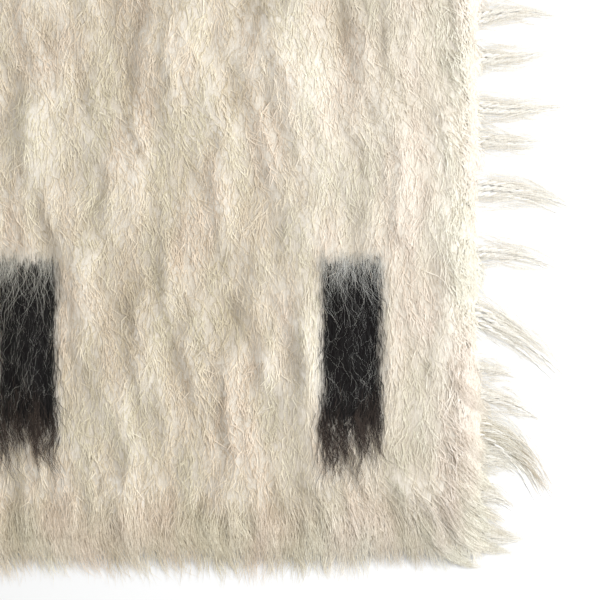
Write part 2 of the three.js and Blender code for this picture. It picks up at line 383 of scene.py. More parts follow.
def grid(xs, ys, height):
    """A grid over the cloth: its corners at heights from their places, its faces, and its rim's corners."""
    gx, gy = np.meshgrid(xs, ys, indexing="ij")
    corners = np.stack([gx, gy, height(gx, gy)], -1).reshape(-1, 3)
    number = np.arange(gx.size).reshape(gx.shape)
    quads = np.stack([number[:-1, :-1], number[1:, :-1], number[1:, 1:], number[:-1, 1:]], -1)
    rim = [*number[:, 0], *number[-1, 1:], *number[-2::-1, -1], *number[0, -2:0:-1]]
    return corners, quads.reshape(-1, 4), rim


def foot_slant(x, y):
    """How much lower than a straight line the feet of the bars end, here and there."""
    return 14 * MM * noise(x, y, 40 * MM, 200 * MM, 986)


def in_bar(x, y, rng):
    """Whether the pile rooted at x, y is of the dark wool. The bars narrow a little from the foot up, and
    cream and dark roots mingle at their edges."""
    count = len(x)
    aside = 1.2 * MM * noise(x, y, 200 * MM, 26 * MM, 31) + np.clip(rng.normal(0, 2.3, count), -4, 4) * MM
    at_head = 4 * MM * noise(x, y, 6 * MM, 200 * MM, 34) + rng.normal(0, 2, count) * MM
    at_foot = 8 * MM * noise(x, y, 11 * MM, 200 * MM, 33) + rng.normal(0, 3, count) * MM + foot_slant(x, y)
    dark = np.zeros(x.shape, bool)
    for middle, low, high in BARS:
        share = np.clip((y - low) / (high - low), 0, 1)
        half = BAR_HALF - 2.6 * MM * np.clip(2 * share, 0, 1)
        dark |= (np.abs(x - middle + aside) < half) & (y + at_foot > low) & (y + at_head < high)
    return dark


def over_bar(path):
    """Which hairs reach in over a dark bar."""
    x, y = path[:, 1:, 0], path[:, 1:, 1]
    over = np.zeros(x.shape, bool)
    for middle, low, high in BARS:
        over |= (np.abs(x - middle) < BAR_HALF - 1 * MM) & (y > low) & (y < high + 3 * MM)
    return over.any(1)


def side_thinning(x, y):
    """The share of its width that each hair keeps: the hairs at a bar's sides are fine, and blend there."""
    keep = np.ones(x.shape)
    for middle, low, high in BARS:
        off = np.abs(np.abs(x - middle) - BAR_HALF + 1.5 * MM) / (6 * MM)
        level = (y > low - 5 * MM) & (y < high)
        keep = np.where(level, np.minimum(keep, np.clip(off, 0.4, 1)), keep)
    return keep


def beside_bar(x, y):
    """1 for pile at a bar's side, where it is combed straighter, and 0 well away from it."""
    near = np.zeros(x.shape)
    for middle, low, high in BARS:
        off = np.abs(np.abs(x - middle) - BAR_HALF) / (9 * MM)
        near = np.maximum(near, np.clip(1.6 - off, 0, 1) * ((y > low - 10 * MM) & (y < high + 10 * MM)))
    return near


def past_bar_end(x, y, length, rng):
    """The share of its length that each hair keeps so that none runs far past its own colour: cream hairs
    stop a little way over a bar's head, and dark ones a little past its foot, in five or so locks."""
    keep = np.ones(x.shape)
    for middle, low, high in BARS:
        aside = x - middle
        level = np.abs(aside) < BAR_HALF + 3 * MM
        lock = 0.5 + 0.5 * np.sin(TAU * aside / (12.5 * MM) + 1.7 * np.sin(TAU * aside / (41 * MM)))
        over = rng.exponential(8 * MM, len(x))
        above = level & (y >= high) & (y < high + length)
        keep = np.where(above, np.minimum(keep, (y - high + over) / length), keep)
        under = (3 + 31 * lock * rng.uniform(0.1, 1, len(x))) * MM
        inside = level & (y >= low) & (y < low + length)
        keep = np.where(inside, np.minimum(keep, (y - low + under) / length), keep)
    return keep


def walk(x, y, points, step, way, height, pull=0.0):
    """Hair paths from x, y. way gives each step's direction from straight down the throw, height how high a
    point lies, and pull how far each step is drawn along X."""
    path = np.empty((len(x), points, 3))
    for k in range(points):
        if k:
            turn = way(k, x, y)
            x = x + np.sin(turn) * step + pull
            y = y - np.cos(turn) * step
        path[:, k] = np.stack([x, y, height(k, x, y)], -1)
    return path


def comb(x, y, seed, kind, shorten=1.0):
    """Lays hairs rooted at x, y down the nap: their paths, half widths, facings and tones."""
    rng = np.random.default_rng(seed)
    count, points = len(x), kind["points"]
    streak = x + drift(x, y)
    wisp_x, wisp = nearest_wisp(streak, y, WISP_ACROSS, WISP_ALONG, 41)
    wisps = np.random.default_rng(43).uniform(-1, 1, (4, 256 * 256))
    wisp_turn, wisp_reach, wisp_rise, wisp_tone = wisps[:, wisp]
    calm = 1 - 0.6 * beside_bar(x, y)
    stray = kind["stray"] * np.clip(rng.standard_t(4, count), -2.6, 2.6) * 0.85
    own_turn = (0.08 * wisp_turn + stray) * calm
    at_side = np.clip((np.abs(x) - HALF_ACROSS + RIM_TURN) / RIM_TURN, 0, 1)
    own_turn += np.sign(x) * at_side * rng.uniform(0.1, 1.2, count)
    from_foot = np.clip((y - FOOT) / (45 * MM), 0, 1)
    shortest = 0.25 + 0.35 * from_foot
    reach = kind["length"] * (1 + 0.15 * wisp_reach) * rng.uniform(shortest, 1.2, count) * shorten
    pull = WISP_PULL * (streak - wisp_x) * reach / COMBED["length"] * (0.6 + 0.4 * from_foot)
    kink = rng.choice([-1, 1], count) * kind["crimp"] * calm

    def way(k, px, py):
        bent = kink * rng.uniform(0.2, 1.6, count)
        return nap_turn(px, py) * calm + own_turn + (bent if k % 2 else -bent)

    def height(k, px, py):
        share = k / (points - 1)
        over = kind["lift"] * share + (0.7 * share + 0.35 * wisp_rise) * MM
        high = pile_top(px, py) - ROOT_SINK * (1 - share) ** 1.5 + over + rng.normal(0, 0.12, count) * MM
        return np.maximum(high, LOWEST)

    path = walk(x, y, points, reach / (points - 1), way, height, pull / (points - 1))
    thick = rng.uniform(0.7, 1.3, count)[:, None] * np.linspace(0.85, 1, points - 1)[None]
    half = 0.5 * kind["width"] * thick
    roll = rng.normal(0, kind["roll"], (count, 1))
    level = top_normal(path[:, 1, 0], path[:, 1, 1])
    sideways = unit(np.cross(path[:, -1] - path[:, 0], level))
    facing = np.repeat((np.cos(roll) * level + np.sin(roll) * sideways)[:, None], points, 1)
    to_side = np.clip((np.abs(x) / MM - 200) / 200, 0, 1)
    own = 0.17 * wisp_tone + rng.normal(0, kind["mottle"], count)
    # The tone carries the painted light and shade of the relief at each root, with each wisp's and hair's own
    # random tone.
    tone = painted_light_tone(x, y) + own * (1 - 0.7 * to_side)
    return path, half, facing, np.clip(tone, 0.02, 0.98)


def new_material(name):
    """An empty material: its tree, and the shader that its look ends in."""
    material = bpy.data.materials.new(name)
    material.use_nodes = True
    return material, material.node_tree, material.node_tree.nodes["Principled BSDF"]


def feed(tree, shader, colour, values, raised=None):
    """Gives a material's shader its colour, its constants by socket, and its bump."""
    tree.links.new(colour, shader.inputs["Base Color"])
    for name, value in values.items():
        shader.inputs[name].default_value = value
    if raised:
        bump = node(tree, "ShaderNodeBump", inputs=raised)
        tree.links.new(bump.outputs["Normal"], shader.inputs["Normal"])


def grain(tree, place, sizes, detail=2.0, distortion=0.0):
    """A noise over the piece whose grains have those sizes along X, Y and Z."""
    scale = [1 / size for size in sizes]
    spread = node(tree, "ShaderNodeMapping", inputs={"Vector": place, "Scale": scale}).outputs["Vector"]
    inputs = {"Vector": spread, "Scale": 1.0, "Detail": detail, "Distortion": distortion}
    return node(tree, "ShaderNodeTexNoise", inputs=inputs).outputs["Fac"]


def strand_parts(tree):
    """Each hair's own tone as X, and the place along it from its root to its tip as Y."""
    strand = node(tree, "ShaderNodeUVMap", {"uv_map": "Strand"}).outputs["UV"]
    return node(tree, "ShaderNodeSeparateXYZ", inputs={"Vector": strand}).outputs


MULTIPLIED = {"data_type": "RGBA", "blend_type": "MULTIPLY"}
WHITE = linear(0xFFFFFF)


def shaded(tree, *ramps):
    """Ramps as colours multiplied together, each given as its source and its stops."""
    colour = None
    for source, *stops in ramps:
        shade = node(tree, "ShaderNodeValToRGB", inputs={"Fac": source}, stops=stops).outputs["Color"]
        if colour is not None:
            shade = node(tree, "ShaderNodeMix", MULTIPLIED, {0: 1.0, 6: colour, 7: shade}).outputs[2]
        colour = shade
    return colour


def wool_hair(name, deep, light, root, tints):
    """Combed wool hair: matt with a faint sheen, each hair of its own tone and darker at its root as painted
    shade, with fine curls of 1.3 by 4.5 mm and the tints of undyed fleece in patches of 45 by 120 mm. It is a
    little whiter towards the fringed ends, as painted light."""
    material, tree, shader = new_material(name)
    parts = strand_parts(tree)
    place = node(tree, "ShaderNodeTexCoord").outputs["Object"]
    across = node(tree, "ShaderNodeSeparateXYZ", inputs={"Vector": place}).outputs["X"]
    aside = node(tree, "ShaderNodeMath", {"operation": "ABSOLUTE"}, {0: across}).outputs[0]
    painted_end_light = node(tree, "ShaderNodeMath", {"operation": "DIVIDE"}, {0: aside, 1: HALF_ACROSS}).outputs[0]
    curls = grain(tree, place, (1.3 * MM, 4.5 * MM, 4 * MM), distortion=1.6)
    fleece = grain(tree, place, (45 * MM, 120 * MM, 1.0))
    colour = shaded(
        tree,
        (parts["X"], (0.1, linear(deep)), (0.9, linear(light))),
        # Whiter towards the ends: painted light.
        (painted_end_light, (0.45, linear(0xFFFBF3)), (0.95, WHITE)),
        (curls, (0.36, linear(0xE7E4DF)), (0.6, WHITE)),
        (fleece, (0.38, linear(tints[0])), (0.62, linear(tints[1]))),
        # Darker towards the root: painted shade.
        (parts["Y"], (0.0, linear(root)), (0.5, WHITE)),
    )
    values = {"Roughness": 0.8, "Specular IOR Level": 0.2, "Sheen Weight": 0.2, "Sheen Roughness": 0.5}
    feed(tree, shader, colour, values)
    return material


# Each gives its darkest and lightest tone, its root colour, which darkens the hair towards its root as
# painted shade (for the brown tips it also stands for their blacker roots), and its two fleece tints.
CREAM = wool_hair("combed cream wool", 0xD8D0C2, 0xFBF7F1, 0xD8D3CA, (0xFFF9F4, 0xF9FAF2))
DARK = wool_hair("combed dark wool", 0x090909, 0x201E1E, 0xC8C4C4, (0xFFFAF6, 0xF8F8FF))
GREY = wool_hair("stray light wool", 0xA4A7A8, 0xF0F1EF, 0xC8C8C6, (0xFFFEFA, 0xFFFFFF))
BROWN = wool_hair("sun-browned dark tips", 0x211D1C, 0x554B45, 0x4A4644, (0xFFFAF6, 0xFFFFFF))
FRINGE_HAIR = wool_hair("loose fringe wool", 0xE3DED5, 0xFCFAF6, 0xF4F1EC, (0xFFFEFB, 0xFEFEFA))


def pile_mat():
    """The dense lower pile under the combed hairs: one closed lumpy body."""
    columns = round(2 * HALF_ACROSS / (5 * MM))
    lines = round(CLOTH_ALONG / (9 * MM))
    upper, quads, rim = grid(
        np.linspace(-HALF_ACROSS + 0.5 * MM, HALF_ACROSS - 0.5 * MM, columns + 1),
        np.linspace(FOOT + 3 * MM, HEAD - 2 * MM, lines + 1),
        lambda x, y: np.maximum(pile_top(x, y) - 1.6 * MM, CLOTH_THICK + 0.6 * MM),
    )
    faces = quads.tolist()
    lower = upper[rim] * [1, 1, 0] + [0, 0, CLOTH_THICK + 0.1 * MM]
    start = len(upper)
    for n, here in enumerate(rim):
        m = (n + 1) % len(rim)
        faces.append((here, start + n, start + m, rim[m]))
    faces.append(tuple(start + n for n in reversed(range(len(rim)))))
    corners = np.concatenate([upper, lower])
    mesh = closed_mesh("pile_mat", corners, faces)
    # The mat's tone is painted light and shade: darker in the hollows, lighter on the ridges, rims and foot.
    tone = painted_light_tone(corners[:, 0], corners[:, 1])
    layer = mesh.uv_layers.new(name="Strand")
    users = np.empty(len(mesh.loops), np.int32)
    mesh.loops.foreach_get("vertex_index", users)
    layer.uv.foreach_set("vector", np.stack([tone, np.ones(len(tone))], -1)[users].reshape(-1))
    return mesh


# How ragged a bar's sides and ends are in the lower pile, and where they start and stop fading
MAT_RAGGED = (10 * MM, 40 * MM)
MAT_FADE = ((-7 * MM, 1 * MM), (-10 * MM, 2 * MM))


def bars_mask(tree, place, fibre):
    """1 in the dark bars and 0 outside, from the place on the throw, ragged by the fibres at their edges."""
    parts = node(tree, "ShaderNodeSeparateXYZ", inputs={"Vector": place}).outputs
    ragged = node(tree, "ShaderNodeMath", {"operation": "SUBTRACT"}, {0: fibre, 1: 0.5}).outputs[0]
    mask = None
    for middle, low, high in BARS:
        inside = {}
        for axis, centre, half in ((0, middle, BAR_HALF), (1, (low + high) / 2, (high - low) / 2)):
            by = {0: ragged, 1: MAT_RAGGED[axis]}
            rough = node(tree, "ShaderNodeMath", {"operation": "MULTIPLY"}, by).outputs[0]
            far = parts[axis]
            for operation, value in (("SUBTRACT", centre), ("ABSOLUTE", 0.0), ("ADD", rough)):
                far = node(tree, "ShaderNodeMath", {"operation": operation}, {0: far, 1: value}).outputs[0]
            start, end = (half + edge for edge in MAT_FADE[axis])
            span = {"Value": far, "From Min": start, "From Max": end, "To Min": 1.0, "To Max": 0.0}
            soft = node(tree, "ShaderNodeMapRange", {"interpolation_type": "SMOOTHSTEP"}, span)
            inside[axis] = soft.outputs["Result"]
        bar = node(tree, "ShaderNodeMath", {"operation": "MULTIPLY"}, inside).outputs[0]
        if mask is not None:
            bar = node(tree, "ShaderNodeMath", {"operation": "MAXIMUM"}, {0: mask, 1: bar}).outputs[0]
        mask = bar
    return mask


def lower_pile():
    """The wool between the hairs' roots: matt, its fibres 1 by 9 mm down the nap, and dark in the bars."""
    material, tree, shader = new_material("dense lower wool")
    place = node(tree, "ShaderNodeTexCoord").outputs["Object"]
    fibre = grain(tree, place, (1 * MM, 9 * MM, 4 * MM))
    # The cream darkens and lightens with the mat's tone: painted light and shade.
    cream = shaded(
        tree,
        (strand_parts(tree)["X"], (0.1, linear(0xC4BAAA)), (0.9, linear(0xEFEAE1))),
        (fibre, (0.3, linear(0xEBE8E2)), (0.7, WHITE)),
    )
    sides = {0: bars_mask(tree, place, fibre), 6: cream, 7: linear(0x191717)}
    colour = node(tree, "ShaderNodeMix", {"data_type": "RGBA"}, sides).outputs[2]
    raised = {"Strength": 0.6, "Distance": 0.8 * MM, "Height": fibre}
    feed(tree, shader, colour, {"Roughness": 0.95, "Specular IOR Level": 0.1}, raised)
    return material


def pile_layer(name, kind, seed, parts):
    """One layer of the whole throw's hair: cream in a few pieces, and the dark bars' in one."""
    rng = np.random.default_rng(seed)
    count = kind["count"]
    x = rng.uniform(-HALF_ACROSS + 1 * MM, HALF_ACROSS - 1 * MM, count)
    y = rng.uniform(FOOT + 2 * MM, HEAD - 1 * MM, count)
    dark = in_bar(x, y, np.random.default_rng(seed + 30))
    keep = past_bar_end(x, y, kind["length"], np.random.default_rng(seed + 20))
    cream = np.flatnonzero(~dark)
    cream = cream[np.argsort(x[cream], kind="stable")]
    pieces = []
    for n, part in enumerate(np.array_split(cream, parts)):
        path, half, facing, tone = comb(x[part], y[part], seed + 1 + n, kind, keep[part])
        half[over_bar(path)] *= 0.12 * MM / kind["width"] + 0.15
        half *= side_thinning(x[part], y[part])[:, None]
        pieces.append(hair_mesh(f"cream_{name}_{n + 1}", path, half, facing, tone, CREAM))
    part = np.flatnonzero(dark)
    path, half, facing, tone = comb(x[part], y[part], seed + 9, kind, keep[part])
    half *= side_thinning(x[part], y[part])[:, None]
    pieces.append(hair_mesh(f"dark_{name}", path, half, facing, tone, DARK))
    return pieces


# The loose fibres over each dark bar: their number, points, width, crimp and height over the pile
VEIL = {"count": 470, "points": 7, "width": 0.108 * MM, "crimp": 0.35, "rise": 1.5 * MM}
STRAYS = {"count": 270, "points": 7, "width": 0.054 * MM, "crimp": 0.4, "rise": 1.7 * MM}
TIPS = {"count": 680, "points": 6, "width": 0.26 * MM, "crimp": 0.35, "rise": 1.2 * MM}
SIDES = {"count": 240, "points": 5, "width": 0.12 * MM, "crimp": 0.3, "rise": 1.3 * MM}
VEIL_STRANDS = 44


def free_fibres(x, y, turn, reach, kind, rng):
    """Long fine fibres that lie loose on the pile from x, y, each with its own crimp of 8 to 14 mm."""
    count, points = len(x), kind["points"]
    wave = rng.uniform(8, 14, count) * MM
    phase = rng.uniform(0, TAU, count)
    bend = rng.normal(0, 0.35, count)
    step = reach / (points - 1)

    def way(k, px, py):
        swing = kind["crimp"] * np.sin(phase + TAU * k * step / wave)
        return nap_turn(px, py) + turn + bend * (k / points - 0.5) + swing

    def height(k, px, py):
        sink = 2.5 * MM if k == 0 else 0
        return pile_top(px, py) + kind["rise"] * rng.uniform(0.6, 1.4, count) - sink

    return walk(x, y, points, step, way, height)


# The locks that a bar's foot ends in: how far across the bar each lies, its spread and reach in millimetres,
# and its share of the fibres
FOOT_LOCKS = np.array([
    [-0.8, 3.2, 34, 0.24], [-0.3, 4.5, 24, 0.26], [0.28, 3.0, 34, 0.24],
    [0.58, 4.0, 20, 0.14], [0.86, 2.6, 26, 0.12],
])


def over_bars():
    """The light fibres combed down over each dark bar, dense at its head and few lower down, the bar's own
    brown tips that fall over the cream pile at its foot in a few locks, and those that stray at its sides."""
    rng = np.random.default_rng(81)
    veil, strays, tips, sides = [], [], [], []
    for middle, low, high in BARS:
        count = VEIL["count"]
        strand = rng.integers(0, VEIL_STRANDS, count)
        x = middle + BAR_HALF * (rng.uniform(-1, 0.95, VEIL_STRANDS)[strand] + rng.normal(0, 0.04, count))
        y = high + rng.normal(0, 5, count) * MM
        reach = rng.exponential(1, count) * rng.uniform(7, 24, VEIL_STRANDS)[strand] + 5
        own_turn = rng.normal(0, 0.15, VEIL_STRANDS)[strand] + rng.normal(0, 0.14, count)
        turn = own_turn - 0.8 * nap_turn(x, y)
        veil.append(free_fibres(x, y, turn, np.clip(reach, 5, 70) * MM, VEIL, rng))

        count = STRAYS["count"]
        x = middle + BAR_HALF * rng.uniform(-1.08, 1.08, count)
        y = low + (high - low) * rng.uniform(0.12, 1, count) ** 0.8
        reach = rng.uniform(10, 26, count) * MM
        turn = rng.normal(0, 0.4, count) - 0.6 * nap_turn(x, y)
        strays.append(free_fibres(x, y, turn, reach, STRAYS, rng))

        count = TIPS["count"]
        across, spread, longest, _ = FOOT_LOCKS[rng.choice(len(FOOT_LOCKS), count, p=FOOT_LOCKS[:, 3])].T
        x = middle + BAR_HALF * across + rng.normal(0, 1, count) * spread * MM
        y = low + rng.normal(6, 13, count) * MM - foot_slant(x, low + 0 * x)
        reach = np.minimum(9 + rng.exponential(0.62, count) * longest, 1.6 * longest) * MM
        tips.append(free_fibres(x, y, rng.normal(0, 0.12, count), reach, TIPS, rng))

        count = SIDES["count"]
        x = middle + rng.choice([-1, 1], count) * (BAR_HALF + (rng.exponential(2.6, count) - 2.5) * MM)
        y = low + (high - low) * rng.uniform(0.06, 0.98, count)
        turn = rng.normal(0, 0.14, count) - 0.6 * nap_turn(x, y)
        reach = rng.uniform(8, 20, count) * MM
        sides.append(free_fibres(x, y, turn, reach, SIDES, rng))
    pieces = []
    for name, paths, kind, wool in (
        ("light_fibres_at_bar_heads", veil, VEIL, GREY), ("light_fibres_on_bars", strays, STRAYS, GREY),
        ("brown_tips_of_bars", tips, TIPS, BROWN), ("brown_fibres_at_bar_sides", sides, SIDES, BROWN),
    ):
        pieces.append(loose_hair(name, np.concatenate(paths), kind["width"], rng, wool))
    return pieces


def ground_cloth():
    """The woven ground under the pile, closed and as thin as the cloth, its foot edge as the solid's."""
    cells = 24
    top, quads, rim = grid(
        np.linspace(-HALF_ACROSS, HALF_ACROSS, cells + 1), np.linspace(FOOT + 3 * MM, HEAD, cells + 1),
        lambda x, y: np.full(x.shape, CLOTH_THICK),
    )
    below = len(top)
    faces = quads.tolist() + (quads[:, ::-1] + below).tolist()
    for here, there in zip(rim, rim[1:] + rim[:1]):
        faces.append((here, here + below, there + below, there))
    return closed_mesh("ground_cloth", np.concatenate([top, top * [1, 1, 0]]), faces, smooth=False)


def woven_wool():
    """Plain-woven woollen yarn: matt, with a 4 mm pitch of over and under."""
    material, tree, shader = new_material("plain woven wool")
    place = node(tree, "ShaderNodeTexCoord").outputs["Object"]
    pitch = 4 * MM
    wave = {"Vector": place, "Scale": TAU / pitch / 20, "Distortion": 1.5, "Detail": 2.0}
    bands = {
        n: node(tree, "ShaderNodeTexWave", {"bands_direction": way}, wave).outputs["Fac"]
        for n, way in enumerate("XY")
    }
    thread = node(tree, "ShaderNodeMath", {"operation": "MULTIPLY"}, bands).outputs[0]
    colour = shaded(tree, (thread, (0.0, linear(0xB4A78D)), (0.7, linear(0xE3D8C1))))
    feed(tree, shader, colour, {"Roughness": 0.95}, {"Strength": 0.8, "Distance": 1 * MM, "Height": thread})
    return material


def chance(key):
    """A number from 0 to 1 that is the same for the same key each time."""
    wave = math.sin(key * 127.1 + 11.7) * 43758.5453
    return wave - math.floor(wave)


def even(key):
    return 2 * chance(key) - 1


def end_tufts(named, first):
    """The tufts of one end: the named ones, and above them others of the same kind at an even pitch."""
    rows = list(named)
    up = first
    while up < CLOTH_ALONG / MM - 8:
        key = len(rows) + first
        rows.append({
            "up": up + 4 * even(key), "reach": 88 + 14 * even(key + 40), "swing": -12 + 16 * even(key + 80),
            "bow": 5 * even(key + 120), "yarns": 3 if chance(key + 160) < 0.35 else 2, "dusty": False,
        })
        up += TUFT_PITCH
    return rows


def tuft_line(tuft, reach, steps):
    """A tuft's middle line on the floor, from inside the header to its tip, as places and directions."""
    root = FOOT / MM + tuft["up"]
    out = HEADER_OUT / MM
    marks = MM * np.array([
        (out - 3, root), (out + 3, root),
        (out + reach * 0.3, root + tuft["swing"] * 0.25 + tuft["bow"] * 0.8),
        (out + reach * 0.65, root + tuft["swing"] * 0.6 + tuft["bow"]),
        (out + reach, root + tuft["swing"]),
    ])
    gaps = np.concatenate([[0], np.cumsum(np.linalg.norm(np.diff(marks, axis=0), axis=1))])
    share = np.linspace(0, 1, steps)
    smooth = np.stack([catmull(gaps / gaps[-1], marks[:, n], share) for n in range(2)], -1)
    return smooth, unit(np.gradient(smooth, axis=0))


def catmull(at, values, share):
    """Values at each share of a smooth line through marks."""
    slopes = np.gradient(values, at)
    k = np.clip(np.searchsorted(at, share, side="right") - 1, 0, len(at) - 2)
    width = at[k + 1] - at[k]
    t = (share - at[k]) / width
    return (
        (2 * t**3 - 3 * t**2 + 1) * values[k] + (t**3 - 2 * t**2 + t) * width * slopes[k]
        + (-2 * t**3 + 3 * t**2) * values[k + 1] + (t**3 - t**2) * width * slopes[k + 1]
    )


YARN_RADIUS = 2.7 * MM
PLY_TURN = 15 * MM


def yarn_plies(tuft, yarn, key):
    """The two plies of one yarn end as (points, 3) lines with their radii."""
    offset = yarn - (tuft["yarns"] - 1) / 2
    reach = tuft["reach"] * (1 - 0.14 * abs(offset) - 0.06 * chance(key + yarn))
    steps = max(10, int(reach / 3))
    line, ahead = tuft_line(tuft, reach, steps)
    share = np.linspace(0, 1, steps)
    apart = YARN_SPREAD * MM * offset * (1 - YARN_DRAW * share) * 0.82
    aside = np.stack([ahead[:, 1], -ahead[:, 0]], -1)
    line = line + aside * apart[:, None]
    radius = YARN_RADIUS * (1 - 0.93 * share**1.1)
    far = share * (reach + 3) * MM
    plies = []
    for ply in range(2):
        angle = TAU * far / PLY_TURN + math.pi * ply + TAU * chance(key + yarn + 11)
        off = 0.6 * radius
        x = line[:, 0] + aside[:, 0] * off * np.cos(angle)
        y = line[:, 1] + aside[:, 1] * off * np.cos(angle)
        z = radius * 1.05 + off * np.sin(angle)
        plies.append((np.stack([x, y, z], -1), 0.6 * radius))
    return plies


def tubes(lines, sides=5):
    """Closed tubes along lines, as corners and faces."""
    corners, faces = [], []
    angle = TAU * np.arange(sides) / sides
    for line, radius in lines:
        start = len(corners)
        ahead = unit(np.gradient(line, axis=0))
        aside = unit(np.cross(ahead, [0, 0, 1.0]))
        up = np.cross(aside, ahead)
        round_it = np.cos(angle)[:, None] * aside[:, None] + np.sin(angle)[:, None] * up[:, None]
        corners += list((line[:, None] + radius[:, None, None] * round_it).reshape(-1, 3))
        for k in range(start, len(corners) - sides, sides):
            for side in range(sides):
                a, b = k + side, k + (side + 1) % sides
                faces.append((a, b, b + sides, a + sides))
        faces.append(tuple(start + side for side in reversed(range(sides))))
        faces.append(tuple(len(corners) - sides + side for side in range(sides)))
    return corners, faces


def tuft_hairs(tuft, rng):
    """The loose fibres that wrap a tuft's yarns and thin out to its tip, every other one well off them."""
    points = 5
    marks = 24
    paths = []
    for n in range(110 + 36 * tuft["yarns"]):
        hazy = n % 2
        spread = (3.0 + 2.8 * tuft["yarns"] + 9 * hazy) * MM
        start = 0.55 * rng.uniform(0, 1) ** 1.7 - 0.02 * (1 - hazy)
        end = min(1.0, start + rng.uniform(0.3, 0.6))
        line, ahead = tuft_line(tuft, tuft["reach"] * rng.uniform(0.84, 1.1), marks)
        pick = np.linspace(max(start, 0.0), end, points)
        at = pick * (marks - 1)
        low = np.clip(np.floor(at).astype(int), 0, marks - 2)
        part = (at - low)[:, None]
        place = line[low] * (1 - part) + line[low + 1] * part
        aside = np.stack([ahead[low, 1], -ahead[low, 0]], -1)
        angle = rng.uniform(0, TAU) + 2.2 * pick * rng.choice([1, 1.4])
        thin = 1 - (0.9 - 0.3 * hazy) * pick**1.2
        off = spread * rng.uniform(0.5, 1.1) * thin * np.cos(angle)
        stray = rng.normal(0, (1.6 + 3 * hazy) * MM) * (pick - start) ** 2 * 3
        high = YARN_RADIUS * (1 + 1.0 * np.sin(angle)) * thin + 0.5 * MM
        paths.append(np.concatenate([place + aside * (off + stray)[:, None], high[:, None]], -1))
    return np.array(paths)


def rim_fuzz(rng, count):
    """The pile's own hairs that lean out over the header and down between the tufts."""
    points = 4
    y = rng.uniform(FOOT + 2 * MM, HEAD - 4 * MM, count)
    thick = 0.5 + 0.5 * noise(y * 0, y, 10 * MM, 15 * MM, 71)
    turn = 0.75 + 0.5 * noise(y * 0, y, 10 * MM, 24 * MM, 72) + rng.normal(0, 0.28, count)
    reach = rng.uniform(10, 28, count) * MM * (0.3 + thick**1.5)
    reach = reach * (1 + 0.6 * np.exp(-((((y - FOOT) / MM - 30) / 60) ** 2)))
    x = HALF_ACROSS + (6.5 - rng.exponential(7, count)) * MM
    bend = rng.normal(0, 0.3, count)

    def way(k, px, py):
        return turn - 0.2 * k + bend * (k - 2) + rng.normal(0, 0.12, count)

    def height(k, px, py):
        past = np.clip((px - HEADER_OUT) / (14 * MM), 0, 1)
        return np.maximum(pile_top(px, py) + 0.8 * MM, 6.2 * MM * (1 - past) + 0.9 * MM * past)

    paths = walk(x, y, points, reach / (points - 1), way, height)
    paths[:, 0, 2] -= 1 * MM
    paths[:, :, 2] += rng.normal(0, 0.15, (count, points)) * MM
    paths[:, :, 2] = np.maximum(paths[:, :, 2], 0.8 * MM)
    return paths


def head_hair(rng, count):
    """The short pile that stands out a little over the head edge."""
    points = 4
    x = rng.uniform(-HALF_ACROSS + 1 * MM, HALF_ACROSS - 1 * MM, count)
    y = HEAD - 9 * rng.uniform(0, 1, count) * MM
    turn = rng.normal(0, 0.5, count)
    bend = rng.normal(0, 0.3, count)
    reach = (HEAD - y) * 0.6 + rng.uniform(3, 13, count) * MM
    paths = np.empty((count, points, 3))
    for k in range(points):
        s = k / (points - 1)
        px = x + np.sin(turn + bend * s) * reach * s
        py = y + np.cos(turn + bend * s) * reach * s
        fall = np.clip((py - HEAD) / (12 * MM), 0, 1)
        height = pile_top(px, np.minimum(py, HEAD)) * (1 - 0.7 * fall) + (1.5 * s - 1) * MM
        paths[:, k] = np.stack([px, py, np.maximum(height, LOWEST)], -1)
    return paths


def foot_hair(rng, count):
    """The pile that hangs over the foot edge and thins out on the floor past it."""
    x = rng.uniform(-HALF_ACROSS + 1 * MM, HALF_ACROSS - 1 * MM, count)
    y = FOOT + 58 * (1 - rng.uniform(0, 1, count) ** 0.5) * MM
    fullest = 42 - 14 * np.clip((x / MM - 300) / 40, 0, 1) + 6 * noise(x, y * 0, 30 * MM, 10 * MM, 75)
    fullest += 6 * np.exp(-(((x / MM - 230) / 70) ** 2))
    reach = np.minimum(y - FOOT + fullest * rng.uniform(0.1, 1.05, count) ** 1.2 * MM, 44 * MM)
    points = 4
    bend = rng.normal(0, 0.3, count)
    turn = rng.normal(0, 0.2, count)
    streak = x + drift(x, y)
    pull = WISP_PULL * (streak - nearest_wisp(streak, y, 11 * MM, 60 * MM, 42)[0])

    def way(k, px, py):
        return nap_turn(px, py) + turn + bend * (k - 2)

    def height(k, px, py):
        past = np.clip((FOOT - py) / (30 * MM), 0, 1)
        high = np.maximum(pile_top(px, py) + 0.8 * MM, 7 * MM * (1 - past) + 1 * MM * past)
        return high + rng.normal(0, 0.3, count) * MM

    paths = walk(x, y, points, reach / (points - 1), way, height, pull / (points - 1))
    paths[:, 0, 2] -= 2.5 * MM
    paths[:, :, 2] = np.maximum(paths[:, :, 2], 0.5 * MM)
    return paths


# Where the pile at the photographed corner was swept out over the floor: each lock from its root to its tip,
# in millimetres, with the bow of its middle, its width and its number of hairs
CORNER_LOCKS = table(
    "root tip bow wide hairs",
    ((374, -384), (412, -424), 4, 9, 80),
    ((360, -402), (411, -437), 6, 9, 100),
    ((384, -392), (438, -424), 6, 10, 110),
    ((386, -376), (443, -410), 6, 9, 110),
    ((388, -362), (434, -396), 4, 10, 80),
    ((389, -338), (428, -372), 3, 9, 60),
    ((389, -312), (422, -343), 3, 9, 50),
    ((389, -268), (420, -297), 3, 10, 50),
)


